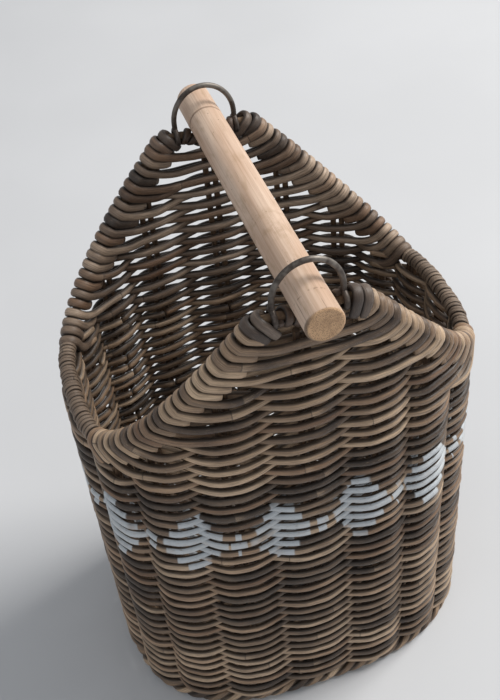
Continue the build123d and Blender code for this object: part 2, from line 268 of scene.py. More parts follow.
class Strands:
    """Swept strands that become one mesh.  Each vertex knows where it is on its strand."""

    def __init__(self):
        self.points, self.faces, self.caps = [], [], []
        self.strand, self.weave = [], []
        self.count = 0

    def add(self, centres, normals, half_height, half_thickness, arc=None, course=99.0, tone=None):
        """One strand along centres; normals point out of its broad face."""
        centres, normals = np.asarray(centres, float), np.asarray(normals, float)
        along = unit(np.gradient(centres, axis=0))
        across = unit(np.cross(along, normals))
        outward = np.cross(across, along)
        steps = np.linalg.norm(np.diff(centres, axis=0), axis=1)
        lengths = np.concatenate([[0], np.cumsum(steps)])
        half_height = np.broadcast_to(half_height, len(centres)).copy()
        half_thickness = np.broadcast_to(half_thickness, len(centres)).copy()
        half_height[[0, -1]] *= CUT_WIDTH
        half_thickness[[0, -1]] *= CUT_THICKNESS
        turn = np.arange(SECTION_POINTS) / SECTION_POINTS * TURN
        broad = np.sign(np.cos(turn)) * np.abs(np.cos(turn)) ** STRAND_SQUARENESS
        thick = np.sign(np.sin(turn)) * np.abs(np.sin(turn)) ** STRAND_SQUARENESS
        rings = centres[:, None, :] \
            + across[:, None, :] * (half_height[:, None] * broad)[:, :, None]
        rings += outward[:, None, :] * (half_thickness[:, None] * thick)[:, :, None]
        rows, first = len(centres), self.count
        self.points.append(rings.reshape(-1, 3))
        ring, spoke = np.meshgrid(np.arange(rows - 1), np.arange(SECTION_POINTS), indexing="ij")
        following = (spoke + 1) % SECTION_POINTS
        corners = [ring * SECTION_POINTS + spoke, ring * SECTION_POINTS + following,
                   (ring + 1) * SECTION_POINTS + following, (ring + 1) * SECTION_POINTS + spoke]
        self.faces.append(first + np.stack(corners, axis=-1).reshape(-1, 4))
        self.caps.append(list(range(first + SECTION_POINTS - 1, first - 1, -1)))
        last = first + (rows - 1) * SECTION_POINTS
        self.caps.append(list(range(last, last + SECTION_POINTS)))
        start = rng.uniform(0, 5)
        tone = rng.uniform(0, 1) if tone is None else tone
        self.strand.append(at_vertices(rows, start + lengths[:, None] * MM, broad, thick))
        round_wall = 0.0 if arc is None else (np.asarray(arc) * MM)[:, None]
        self.weave.append(at_vertices(rows, tone, round_wall, course))
        self.count += rows * SECTION_POINTS

    def piece(self, name, material, slot, *stands_for):
        """The Blender object for these strands, riding on the basket."""
        mesh = bpy.data.meshes.new(name)
        quads = np.concatenate(self.faces)
        points = np.concatenate(self.points) * MM
        mesh.from_pydata(points.tolist(), [], quads.tolist() + self.caps)
        smooth = np.ones(len(mesh.polygons), bool)
        smooth[len(quads):] = False
        mesh.polygons.foreach_set("use_smooth", smooth)
        for label, values in (("strand", self.strand), ("weave", self.weave)):
            attribute = mesh.attributes.new(label, "FLOAT_VECTOR", "POINT")
            attribute.data.foreach_set("vector", np.concatenate(values).astype(np.float32).ravel())
        mesh.validate()
        place(bpy.data.objects.new(name, mesh), "basket", material, slot, *stands_for)


def place(piece, body, material, slot, *stands_for):
    """Put a piece in the scene and say what it rides on and the CAD nodes it replaces; slot is not
    used.
    """
    bpy.context.scene.collection.objects.link(piece)
    piece.data.materials.append(material)
    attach(piece, body)
    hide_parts(*stands_for)


# ---- node helpers ----
class Shade:
    """A material's node tree, written as short calls."""

    def __init__(self, name, **constants):
        self.material = bpy.data.materials.new(name)
        self.material.use_nodes = True
        self.tree = self.material.node_tree
        self.shader = self.tree.nodes["Principled BSDF"]
        for key, value in constants.items():
            self.shader.inputs[key.replace("_", " ")].default_value = value

    def node(self, kind, inputs, **settings):
        made = self.tree.nodes.new(kind)
        for key, value in settings.items():
            setattr(made, key, value)
        for key, value in inputs.items():
            self.set(made.inputs[key], value)
        return made

    def set(self, socket, value):
        if isinstance(value, bpy.types.NodeSocket):
            self.tree.links.new(value, socket)
        else:
            socket.default_value = value

    def math(self, operation, first, second=0.0):
        return self.node("ShaderNodeMath", {0: first, 1: second}, operation=operation).outputs[0]

    def mix(self, factor, first, second):
        made = self.node("ShaderNodeMix", {}, data_type="RGBA")
        self.set(made.inputs[0], factor)
        self.set(made.inputs[6], first)
        self.set(made.inputs[7], second)
        return made.outputs[2]

    def ramp(self, value, low, high):
        """0 below low and 1 above high; low may be the larger, which turns it round."""
        inputs = {"Value": value, "From Min": low, "From Max": high}
        return self.node("ShaderNodeMapRange", inputs, interpolation_type="SMOOTHSTEP").outputs[0]

    def split(self, vector):
        return self.node("ShaderNodeSeparateXYZ", {0: vector}).outputs

    def join(self, x, y, z):
        return self.node("ShaderNodeCombineXYZ", {0: x, 1: y, 2: z}).outputs[0]

    def attribute(self, name):
        found = self.node("ShaderNodeAttribute", {}, attribute_name=name)
        return self.split(found.outputs["Vector"])

    def place(self):
        return self.node("ShaderNodeTexCoord", {}).outputs["Object"]

    def stretch(self, vector, x, y, z):
        inputs = {0: vector, 1: (x, y, z)}
        return self.node("ShaderNodeVectorMath", inputs, operation="MULTIPLY").outputs[0]

    def times(self, first, second):
        return self.math("MULTIPLY", first, second)

    def tint(self, colour, mask, share, over):
        """The colour with another one laid over it where the mask is 1."""
        return self.mix(self.times(mask, share), colour, paint(*over))

    def near(self, value, place, outside, inside):
        """1 within inside of a place and 0 beyond outside."""
        away = self.math("ABSOLUTE", self.math("SUBTRACT", value, place))
        return self.ramp(away, outside, inside)

    def noise(self, vector, scale, detail=3.0, roughness=0.5):
        inputs = {"Vector": vector, "Scale": scale, "Detail": detail, "Roughness": roughness}
        return self.node("ShaderNodeTexNoise", inputs).outputs["Fac"]

    def bump(self, height, strength, distance):
        inputs = {"Height": height, "Strength": strength, "Distance": distance}
        self.set(self.shader.inputs["Normal"], self.node("ShaderNodeBump", inputs).outputs[0])

    def colour(self, value):
        self.set(self.shader.inputs["Base Color"], value)

    def roughness(self, base, noise, share=0.3):
        self.set(self.shader.inputs["Roughness"], self.math("ADD", base, self.times(noise, share)))


def paint(red, green, blue):
    """A colour given as it looks on a screen, 0 to 255."""
    linear = []
    for value in (red, green, blue):
        share = value / 255
        linear.append(share / 12.92 if share <= 0.04045 else ((share + 0.055) / 1.055) ** 2.4)
    return (*linear, 1.0)


# ---- materials ----
PAINT_LOW, PAINT_HIGH = 208.0, 278.0  # heights of the painted band
PAINT_COURSES = (PAINT_HIGH - PAINT_LOW) / 2 / COURSE_PITCH
MOTIFS_ROUND = 14
BAND_PAINT = (198, 205, 210)
CANE_WARM = (148, 108, 76)
JOINT_DARK = (34, 25, 19)
# painted shade along the edges of each strand
EDGE_PAINTED_SHADE = (34, 26, 21)
JOINT_PITCH = 0.29  # metres along a strand between joints in the cane


def cane_fibres(shade, along, across, seed):
    """Coarse and fine fibres that run along a strand."""
    coarse_place = shade.join(shade.times(along, 45.0), shade.times(across, 4.0), seed)
    fine_place = shade.join(shade.times(along, 160.0), shade.times(across, 12.0), seed)
    return shade.noise(coarse_place, 1.6, 4.0, 0.62), shade.noise(fine_place, 1.5, 2.0)


def cane_body(shade, along, tone, seed):
    """How light a strand is: its own tone, its drift from end to end, and patches of weather."""
    drift = shade.noise(shade.join(shade.times(along, 12.0), seed, 0.0), 1.3, 2.0)
    patch = shade.noise(shade.place(), 17.0, 3.0)
    body = shade.math("ADD", shade.times(tone, 0.5), shade.times(drift, 0.5))
    return shade.math("ADD", body, shade.times(shade.math("SUBTRACT", patch, 0.5), 0.75))


def rattan(name, dark, middle, light, painted=False):
    """Weathered cane: long fibres, joints in the cane, and painted shade darkening each strand's
    edges.
    """
    shade = Shade(name, Specular_IOR_Level=0.5, Sheen_Weight=0.04)
    along, across, _ = shade.attribute("strand")
    tone, arc, course = shade.attribute("weave")
    seed = shade.times(tone, 37.0)
    fibre, fine = cane_fibres(shade, along, across, seed)
    body = cane_body(shade, along, tone, seed)
    colour = shade.mix(shade.ramp(body, 0.16, 0.5), paint(*dark), paint(*middle))
    colour = shade.mix(shade.ramp(body, 0.46, 0.8), colour, paint(*light))
    warm = shade.ramp(shade.math("FRACT", shade.times(tone, 7.3)), 0.55, 0.95)
    colour = shade.tint(colour, warm, 0.4, CANE_WARM)
    colour = shade.tint(colour, shade.ramp(fibre, 0.62, 0.34), 0.55, dark)
    colour = shade.tint(colour, shade.ramp(fine, 0.6, 0.74), 0.4, light)
    joint_at = shade.math("MODULO", shade.math("ADD", along, shade.times(tone, 0.31)), JOINT_PITCH)
    joint = shade.times(shade.ramp(joint_at, 0.0011, 0.0004), shade.ramp(fine, 0.3, 0.5))
    beside_joint = shade.times(shade.ramp(joint_at, 0.011, 0.001), shade.ramp(fine, 0.35, 0.6))
    colour = shade.tint(colour, beside_joint, 0.4, light)
    colour = shade.tint(colour, joint, 0.7, JOINT_DARK)
    # Painted shade: each strand darker towards its edges, where it meets its neighbours.
    edge = shade.ramp(shade.math("ABSOLUTE", across), 0.55, 0.97)
    colour = shade.tint(colour, edge, 0.85, EDGE_PAINTED_SHADE)
    if painted:
        colour = shade.mix(painted_band(shade, arc, course, fine), colour, paint(*BAND_PAINT))
    shade.colour(colour)
    shade.roughness(0.33, fibre)
    relief = shade.math("ADD", shade.times(fibre, 0.7), shade.times(fine, 0.3))
    relief = shade.math("SUBTRACT", relief, shade.times(joint, 0.8))
    shade.bump(relief, 0.6, 0.0007)
    return shade.material


def lozenge(shade, turn, height, middle, half_width, half_height):
    """1 inside a lozenge at this place in the repeat, height counted from its middle."""
    beside = shade.math("ABSOLUTE", shade.math("SUBTRACT", turn, middle))
    across = shade.math("DIVIDE", beside, half_width)
    reach = shade.math("ADD", across, shade.math("DIVIDE", height, half_height))
    return shade.ramp(reach, 1.03, 0.97)


def painted_band(shade, arc, course, wear):
    """White paint in large and small lozenges by turns, only on the outer face of the strands."""
    along, _, face = shade.attribute("strand")
    period = PERIMETER * MM / MOTIFS_ROUND
    shake = shade.noise(shade.join(course, shade.times(arc, 30.0), 0.0), 3.0, 1.0)
    turn = shade.math("FRACT", shade.math("DIVIDE", arc, period))
    turn = shade.math("ADD", turn, shade.times(shade.math("SUBTRACT", shake, 0.5), 0.12))
    height = shade.math("ABSOLUTE", course)
    large = lozenge(shade, turn, height, 0.5, 0.39, PAINT_COURSES * 1.2)
    small = shade.math("MAXIMUM", lozenge(shade, turn, height, 0.0, 0.1, 2.6),
                       lozenge(shade, turn, height, 1.0, 0.1, 2.6))
    inside = shade.math("LESS_THAN", height, PAINT_COURSES)
    solid = shade.times(shade.math("MAXIMUM", large, small), inside)
    worn = shade.ramp(wear, 0.78, 0.56)
    fading = shade.noise(shade.join(shade.times(along, 26.0), course, 0.0), 1.5, 2.0)
    faded = shade.ramp(fading, 0.22, 0.45)
    outer = shade.ramp(face, 0.0, 0.3)
    strength = shade.times(shade.times(worn, faded), shade.times(outer, 0.88))
    return shade.times(solid, strength)


def plain_rattan(name, dark, light, stretch):
    """Peeled rods and stakes; stretch is the scale of their grain along X, Y and Z."""
    shade = Shade(name, Specular_IOR_Level=0.3, Sheen_Weight=0.05)
    fibre = shade.noise(shade.stretch(shade.place(), *stretch), 1.0, 4.0, 0.6)
    patch = shade.noise(shade.place(), 34.0, 3.0)
    mixed = shade.math("ADD", shade.times(fibre, 0.6), shade.times(patch, 0.4))
    shade.colour(shade.mix(shade.ramp(mixed, 0.36, 0.64), paint(*dark), paint(*light)))
    shade.roughness(0.52, fibre)
    shade.bump(fibre, 0.5, 0.0004)
    return shade.material


def forged_iron():
    """Dark iron wire: faint scale, a little brown in it, paler in patches on top of the arch."""
    shade = Shade("forged_iron", Metallic=0.55, Specular_IOR_Level=0.4)
    where = shade.place()
    scale = shade.noise(where, 380.0, 4.0, 0.6)
    hammer = shade.noise(where, 110.0, 2.0)
    rust = shade.ramp(shade.noise(where, 75.0, 4.0, 0.65), 0.58, 0.75)
    colour = shade.mix(shade.ramp(scale, 0.3, 0.75), paint(66, 58, 53), paint(96, 88, 82))
    colour = shade.tint(colour, rust, 0.3, (88, 72, 60))
    _, _, z = shade.split(where)
    # Paler in patches towards the top of the arch.
    crown = shade.times(shade.ramp(z, 0.462, 0.49), shade.ramp(hammer, 0.38, 0.58))
    colour = shade.tint(colour, crown, 0.6, (146, 140, 132))
    shade.colour(colour)
    shade.roughness(0.36, scale)
    relief = shade.math("ADD", shade.times(hammer, 0.7), shade.times(scale, 0.3))
    shade.bump(relief, 0.45, 0.0005)
    return shade.material


def pole_grain(shade, where, grain, fine):
    """Colour of the pole's sides: tints, fibres, scratches, specks and weathered patches."""
    tint = shade.noise(shade.stretch(where, 60.0, 9.0, 60.0), 1.0, 2.0)
    colour = shade.mix(shade.ramp(tint, 0.3, 0.7), paint(194, 163, 139), paint(214, 189, 168))
    fibres = shade.ramp(grain, 0.44, 0.68)
    colour = shade.tint(colour, fibres, 0.45, (168, 136, 112))
    scratch = shade.ramp(fine, 0.58, 0.7)
    colour = shade.tint(colour, scratch, 0.4, (120, 92, 72))
    speck = shade.noise(shade.stretch(where, 700.0, 330.0, 700.0), 1.0, 1.0)
    colour = shade.tint(colour, shade.ramp(speck, 0.74, 0.8), 0.7, (84, 60, 42))
    patches = shade.noise(shade.stretch(where, 150.0, 42.0, 150.0), 1.0, 4.0, 0.6)
    weathered = shade.ramp(patches, 0.52, 0.7)
    return shade.tint(colour, weathered, 0.35, (158, 130, 98))


def pole_marks(shade, where, y, colour):
    """A stain behind the front hoop, a rubbed line, the ring at the groove, and fine cracks."""
    near_stain = shade.near(y, (STAIN_AT - PEAK_Y) * MM, 0.026, 0.008)
    stain = shade.times(near_stain, shade.ramp(shade.noise(where, 90.0, 4.0), 0.5, 0.64))
    colour = shade.tint(colour, stain, 0.3, (146, 116, 80))
    rub = shade.near(y, (BAR_LOW[1] + RUB_AT) * MM, 0.0012, 0.0003)
    marks = shade.times(rub, shade.ramp(shade.noise(where, 260.0, 2.0), 0.52, 0.6))
    colour = shade.tint(colour, marks, 0.45, (92, 68, 50))
    ring = shade.near(y, GROOVE_AT * MM, 0.0016, 0.0005)
    colour = shade.tint(colour, ring, 0.6, (96, 72, 56))
    cracks = shade.noise(shade.stretch(where, 900.0, 22.0, 900.0), 1.0, 2.0)
    crack = shade.times(shade.ramp(cracks, 0.64, 0.7), shade.ramp(y, -0.105, -0.14))
    return shade.tint(colour, crack, 0.7, (70, 54, 44))


def pole_end(shade, where, pores):
    """Colour of the porous cut ends."""
    cut = shade.mix(shade.ramp(pores, 0.15, 0.5), paint(122, 92, 68), paint(206, 168, 130))
    cloud = shade.ramp(shade.noise(where, 160.0, 3.0), 0.45, 0.7)
    return shade.tint(cut, cloud, 0.5, (152, 118, 88))


def pole_rim_shade(shade, x, y, z):
    """1 on the lower left edge of the pole's front end, for painted shade on the side away from the
    light.
    """
    up = shade.math("SUBTRACT", z, (BAR_LOW[2] + BAR_HIGH[2]) / 2 * MM)
    away = shade.math("SQRT", shade.math("ADD", shade.times(x, x), shade.times(up, up)))
    low_left = shade.ramp(shade.math("ADD", x, up), 0.006, -0.008)
    front = BAR_LOW[1] * MM
    rim = shade.times(shade.ramp(away, 0.0112, 0.0128), shade.ramp(y, front + 0.0025, front + 0.0012))
    return shade.times(rim, low_left)


def pole_wood():
    """Peeled pale pole with its fibres along Y, and porous cut ends."""
    shade = Shade("pole_wood", Specular_IOR_Level=0.3, Sheen_Weight=0.04)
    where = shade.place()
    x, y, z = shade.split(where)
    grain = shade.noise(shade.stretch(where, 620.0, 7.0, 620.0), 1.0, 4.0, 0.62)
    fine = shade.noise(shade.stretch(where, 1700.0, 26.0, 1700.0), 1.0, 3.0, 0.6)
    pores = shade.node("ShaderNodeTexVoronoi", {"Vector": where, "Scale": 1500.0}).outputs["Distance"]
    end_at = BAR_HIGH[1] * MM
    end = shade.ramp(shade.math("ABSOLUTE", y), end_at - 0.0018, end_at - 0.0006)
    colour = pole_marks(shade, where, y, pole_grain(shade, where, grain, fine))
    colour = shade.mix(end, colour, pole_end(shade, where, pores))
    # Painted shade on the lower left edge of the pole's front end.
    colour = shade.tint(colour, pole_rim_shade(shade, x, y, z), 0.75, (88, 78, 70))
    shade.colour(colour)
    shade.roughness(0.48, grain)
    relief = shade.math("ADD", shade.times(grain, 0.5), shade.times(fine, 0.5))
    relief = shade.math("SUBTRACT", relief, shade.times(end, shade.times(pores, 0.8)))
    shade.bump(relief, 0.5, 0.0005)
    return shade.material


# ---- woven body ----
def course_heights():
    return np.arange(FOOT_TOP + COURSE_PITCH / 2, PEAK_Z, COURSE_PITCH)


def strand_heights(side):
    """Half height of a strand: full over a stake, squeezed where strands cross."""
    return CROSSING_HALF_HEIGHT + (STRAND_HALF_HEIGHT - CROSSING_HALF_HEIGHT) * np.abs(side)


def paint_course(height):
    """Courses from the middle of the painted band, counted from its middle."""
    return (height - (PAINT_LOW + PAINT_HIGH) / 2) / COURSE_PITCH


def lay_course(strands, start, stop, height, parity):
    """One strand along the wall from one arc to another, both ends tucked to the inside."""
    arc = np.linspace(start, stop, max(8, int((stop - start) / STEP)))
    side = weave_side(arc, parity)
    length = arc - start
    to_end = np.minimum(length, stop - arc)
    offset = WEAVE_OFFSET * side + wander(length, OFFSET_WANDER, OFFSET_WAVE)
    offset -= TUCK_DEPTH * np.clip(1 - to_end / TUCK_LENGTH, 0, 1)
    level = height + wander(length, BODY_LEVEL_WANDER, LEVEL_WAVE) - OUTSIDE_DROP * side
    points, normals = on_wall(arc, offset, level)
    half_heights = strand_heights(side) * rng.uniform(*BODY_WIDTHS)
    half_thickness = STRAND_HALF_THICKNESS * rng.uniform(*BODY_THICKNESSES)
    strands.add(points, normals, half_heights, half_thickness, arc, paint_course(height))


def course_breaks(parity, pieces):
    """Stakes with this course inside them, where one strand ends and the next begins."""
    inside = [arc for arc in STAKE_ARCS if weave_side(arc, parity) < 0]
    chosen = sorted(rng.choice(len(inside), size=pieces, replace=False))
    return [inside[index] + rng.uniform(-BREAK_SHIFT, BREAK_SHIFT) for index in chosen]


def weave_body(heights):
    """Closed courses up to the gables, in one mesh for each way of alternating.

    A course has two strands, and every third course has three.
    """
    layers = [Strands(), Strands()]
    for number, height in enumerate(heights):
        parity = number % 2
        breaks = course_breaks(parity, 2 + number % 3 // 2)
        for start, stop in zip(breaks, breaks[1:] + [breaks[0] + PERIMETER]):
            lay_course(layers[parity], start + BREAK_GAP, stop - BREAK_GAP, height, parity)
    return layers


def weave_sides(heights, first_number):
    """Short courses between the corner stakes, under the side rims."""
    strands = Strands()
    for corner in range(len(SIDES)):
        corners = [(GABLES[name], CORNER_STAKE_X[name][corner]) for name in GABLES]
        ends = sorted(arc_at(x, gable * wall_y(x)) for gable, x in corners)
        for number, height in enumerate(heights):
            lay_course(strands, ends[0] - SIDE_OVERLAP, ends[1] + SIDE_OVERLAP, height,
                       (first_number + number) % 2)
    return strands


# ---- sloping rims ----
def smoothed(values, reach=6):
    """Running mean over this many neighbours on each side."""
    count = 2 * reach + 1
    padded = np.pad(values, reach, mode="reflect", reflect_type="odd")
    return np.convolve(padded, np.ones(count) / count, mode="valid")


def run_along(first, second):
    """Length along a line, from the two coordinates of its points."""
    return np.concatenate([[0], np.cumsum(np.hypot(np.diff(first), np.diff(second)))])


def slope_line():
    """A gable's sloping rim laid flat: arc from the gable's middle, height and length along it.

    The last two values are the direction square to the rim: its share outwards and upwards.
    """
    x = np.linspace(GABLE_FOOT_X, RIM_TOP_X, 240)
    out = smoothed(np.array([arc_at(v, -wall_y(v)) for v in x]))
    straight = LOW_RIM + GABLE_RISE * (GABLE_FOOT_X - x) / (GABLE_FOOT_X - GABLE_PEAK_X)
    height = smoothed(np.minimum(straight, PEAK_Z))
    length = run_along(out, height)
    rise = unit(np.stack([-np.gradient(out), np.gradient(straight)], axis=1))
    return out, height, length, rise[:, 1], rise[:, 0]


SLOPE_OUT, SLOPE_HEIGHT, SLOPE_LENGTH, LEAN_OUT, LEAN_UP = slope_line()
GABLE_COURSES_FROM = SLOPE_HEIGHT[0] - RISER_LENGTH * LEAN_UP[0]
GABLE_COURSES_TO = SADDLE_Z - SADDLE_BELOW


def on_slope(length, lean=1.0):
    """Arc out of the gable's middle, height, and the direction of a wrap there.

    lean 1 sets the wrap square to the rim and lean 0 upright.
    """
    values = [SLOPE_OUT, SLOPE_HEIGHT, LEAN_OUT, LEAN_UP]
    out, height, lean_out, lean_up = [float(np.interp(length, SLOPE_LENGTH, v)) for v in values]
    angle = lean * math.atan2(lean_out, lean_up)
    return out, height, math.sin(angle), math.cos(angle)


def wrap_lean(middle, end):
    """The wraps on the front gable's right stand nearly upright, the others square to the rim."""
    return UPRIGHT_LEAN if middle == GABLE_MIDDLE["front"] and end > 0 else 1.0


def riser(middle, end, length, row_height):
    """Bend from a course up to the rim, as arcs round the wall and heights."""
    out, height, lean_out, _ = on_slope(length, wrap_lean(middle, end))
    corner = np.array([out - RISER_LENGTH * lean_out, row_height])
    start = np.array([max(corner[0] - RISER_BEND, 1.5), row_height])
    stop = np.array([out, height])
    share = np.linspace(0, 1, BEND_POINTS)[:, None]
    curve = (1 - share) ** 2 * start + 2 * share * (1 - share) * corner + share ** 2 * stop
    return middle + end * curve[:, 0], curve[:, 1]


def over_rim(middle, end, side, length, row_height, tail, tuck, radius=WRAP_RADIUS):
    """Strand over the rim and down its far side: points and normals from the rim's near face.

    end is 1 or -1, the gable's right or left; side is 1 if the strand comes from outside.
    tail is the length down the far side and tuck how far its end goes in between its neighbours.
    """
    out, height, lean_out, lean_up = on_slope(length, wrap_lean(middle, end))
    arc = middle + end * out
    centre, normal = on_wall([arc], 0.0, height)
    along_wall = np.array([-normal[0][1], normal[0][0], 0.0])
    up = end * lean_out * along_wall + lean_up * UP
    turn = np.linspace(0, math.pi, BEND_POINTS)[:, None]
    points = centre + radius * (np.cos(turn) * side * normal + np.sin(turn) * up)
    normals = np.cos(turn) * normal + side * np.sin(turn) * up
    bend_arc, bend_height = riser(middle, end, length, row_height)
    bend_arc, bend_height = bend_arc[::-1], bend_height[::-1]
    run = run_along(bend_arc, bend_height)
    down = np.linspace(0, tail, max(4, int(tail / TAIL_STEP)))[1:]
    tail_points, tail_normals = on_wall(np.interp(down, run, bend_arc),
                                        -side * radius * (1 - tuck * (down / tail) ** 2),
                                        np.interp(down, run, bend_height))
    return np.concatenate([points, tail_points]), np.concatenate([normals, -tail_normals])


def tail_shape(side):
    """Length and tuck of a cut end: a strand that comes from outside ends inside."""
    if side > 0:
        return INNER_TAIL * rng.uniform(0.75, 1.15), rng.uniform(0.4, 0.7)
    return OUTER_TAIL * rng.uniform(0.8, 1.15), rng.uniform(0.0, 0.25)


def stakes_held(middle, out):
    """Arcs of the first and last stake that a course this long passes on a gable."""
    arcs = STAKE_ARCS - PERIMETER * (STAKE_ARCS > middle + PERIMETER / 2)
    held = [arc for arc in arcs if abs(arc - middle) < out - 8]
    return min(held), max(held)


def gable_course(strands, middle, height, parity, length, size):
    """One strand across a gable, over the sloping rim at both ends at this length along it.

    size scales the strand's height.
    """
    limits = stakes_held(middle, on_slope(length)[0])
    left_length, right_length = length + rng.uniform(-WRAP_SHIFT, WRAP_SHIFT, size=2)
    right_arc, right_height = riser(middle, 1, right_length, height)
    left_arc, left_height = riser(middle, -1, left_length, height)
    reach = right_arc[0] - left_arc[0]
    flat_arc = np.linspace(left_arc[0], right_arc[0], max(3, int(reach / STEP)))[1:-1]
    arc = np.concatenate([left_arc[::-1], flat_arc, right_arc])
    level = np.concatenate([left_height[::-1], np.full(len(flat_arc), height), right_height])
    side = weave_side(np.clip(arc, *limits), parity)
    run = arc - arc[0]
    to_rim = np.minimum(run, run[-1] - run)
    fade = np.clip(to_rim / RIM_CALM, 0, 1)
    offset = WEAVE_OFFSET * side + wander(run, OFFSET_WANDER, OFFSET_WAVE) * fade
    level = level + (wander(run, GABLE_LEVEL_WANDER, LEVEL_WAVE) - OUTSIDE_DROP * side) * fade
    points, normals = on_wall(arc, offset, level)
    side_left, side_right = np.sign(side[0]), np.sign(side[-1])
    left_over, left_normals = over_rim(middle, -1, side_left, left_length, height,
                                       *tail_shape(side_left))
    right_over, right_normals = over_rim(middle, 1, side_right, right_length, height,
                                         *tail_shape(side_right))
    at_rim = np.maximum(0, 1 - to_rim / RIM_BLEND)
    half_heights = np.concatenate([np.full(len(left_over) - 1, RIM_HALF_HEIGHT),
                                   strand_heights(side) * (1 - at_rim) + RIM_HALF_HEIGHT * at_rim,
                                   np.full(len(right_over) - 1, RIM_HALF_HEIGHT)])
    half_heights = half_heights * size * rng.uniform(*GABLE_WIDTHS)
    strands.add(np.concatenate([left_over[:0:-1], points, right_over[1:]]),
                np.concatenate([left_normals[:0:-1], normals, right_normals[1:]]),
                half_heights, STRAND_HALF_THICKNESS * rng.uniform(*GABLE_THICKNESSES))


def loose_wrap(strands, middle, end, length, tail, half_width, thickness):
    """Short strand bent over the rim, both ends cut."""
    _, height, _, lean_up = on_slope(length)
    row_height = height - RISER_LENGTH * lean_up - STRAP_REACH
    down, down_normals = over_rim(middle, end, 1, length, row_height, tail, 0.5, STRAP_RADIUS)
    up, up_normals = over_rim(middle, end, -1, length, row_height, tail, 0.0, STRAP_RADIUS)
    outside = up[BEND_POINTS:][::-1]
    outside_normals = -up_normals[BEND_POINTS:][::-1]
    strands.add(np.concatenate([outside, down]), np.concatenate([outside_normals, down_normals]),
                half_width, thickness)


def weave_gable(name, first_height, first_number):
    """Courses of one gable, side by side over its rims from the corners to the hoop's straps."""
    strands = Strands()
    pitch = GABLE_PITCH[name]
    heights = np.arange(first_height, GABLE_COURSES_TO, pitch)
    last_wrap = SLOPE_LENGTH[-1] - STRAP_BACK[-1] - RIM_HALF_HEIGHT * LAST_WRAP_ROOM
    lengths = np.linspace(FIRST_WRAP, last_wrap, len(heights))
    for number, (height, length) in enumerate(zip(heights, lengths)):
        gable_course(strands, GABLE_MIDDLE[name], height, (first_number + number) % 2, length,
                     pitch / COURSE_PITCH)
    return strands


# ---- side rims, peaks and foot ----
def rows_between(places, rows):
    """Rows of a list at places that may fall between them."""
    index = np.arange(len(rows))
    return np.stack([np.interp(places, index, rows[:, axis]) for axis in range(3)], axis=1)


def helix(centres, normals, across, radius, turns, steps_per_turn=14):
    """Points round a line of centres, and their outward normals."""
    share = np.linspace(0, 1, int(turns * steps_per_turn))
    places = share * (len(centres) - 1)
    turn = (share * turns * TURN)[:, None]
    radial = np.cos(turn) * rows_between(places, normals) + np.sin(turn) * rows_between(places, across)
    return rows_between(places, centres) + radius * radial, radial


def lash_side_rim(name):
    """Cane wound closely, but by hand, round a side rim."""
    strands = Strands()
    y = np.linspace(-SIDE_RIM_HALF_LENGTH, SIDE_RIM_HALF_LENGTH, 60)
    arcs = np.array([arc_at(SIDES[name] * wall_x(v), v) for v in y])
    centres, normals = on_wall(arcs, 0.0, LOW_RIM)
    up = np.tile(UP, (len(y), 1))
    turns = 2 * SIDE_RIM_HALF_LENGTH / WINDING_SPACING
    points, radial = helix(centres, normals, up, WINDING_RADIUS, turns, 16)
    winds = np.linspace(0, turns, len(points))
    uneven = wander(winds, 0.45, 2.3) + wander(winds, 0.35, 9.0)
    points += radial * uneven[:, None]
    points[:, 1] += wander(winds, 0.5, 3.1)
    strands.add(points, radial, WINDING_HALF_WIDTH, WINDING_HALF_THICKNESS, tone=0.62)
    return strands


def wrap_peak(name):
    """Dark wraps round the dip under the bar, thicker where they rise beside it."""
    strands = Strands()
    half = HOOP_HALF_WIDTH - SADDLE_WRAP_END
    x = np.linspace(-half, half, 60)
    share = np.abs(x) / half
    z = SADDLE_Z + (PEAK_Z - SADDLE_Z) * share ** 2 * (3 - 2 * share)
    centres = np.stack([x, np.full(len(x), GABLES[name] * PEAK_Y), z], axis=1)
    along = unit(np.gradient(centres, axis=0))
    out = np.tile([0.0, GABLES[name], 0.0], (len(x), 1))
    turns = 2 * half / SADDLE_WRAP_SPACING
    points, radial = helix(centres, out, np.cross(along, out) * -GABLES[name],
                           SADDLE_WRAP_RADIUS, turns)
    rise = np.clip(np.abs(points[:, 0]) / 6 - 1.8, 0, 1)
    strands.add(points + 1.2 * radial * rise[:, None], radial, SADDLE_WRAP_HALF_WIDTH,
                SADDLE_WRAP_HALF_THICKNESS + 1.0 * rise, tone=0.1)
    return strands


def strap_hoop(name):
    """Broad strands over the rim just outside the hoop's feet."""
    strands = Strands()
    for end in (-1, 1):
        for back in STRAP_BACK:
            loose_wrap(strands, GABLE_MIDDLE[name], end, SLOPE_LENGTH[-1] - back,
                       rng.uniform(*STRAP_TAILS), rng.uniform(*STRAP_HALF_WIDTHS),
                       STRAP_HALF_THICKNESS)
    return strands


def foot_rope():
    """Thick strands plaited round the foot."""
    strands = Strands()
    arcs = np.linspace(0, PERIMETER, 420)
    centres, normals = on_wall(arcs, 0.0, FOOT_TOP / 2)
    turns = round(PERIMETER / FOOT_TURN_LENGTH)
    share = np.linspace(0, 1, 900)
    places = share * (len(arcs) - 1)
    middle = rows_between(places, centres)
    out = unit(rows_between(places, normals))
    for number in range(FOOT_STRANDS):
        turn = (share * turns * TURN + number * TURN / FOOT_STRANDS)[:, None]
        radial = np.cos(turn) * out + np.sin(turn) * UP
        strands.add(middle + FOOT_ROPE_RADIUS * radial, radial, FOOT_HALF_WIDTH, FOOT_HALF_THICKNESS)
    return strands


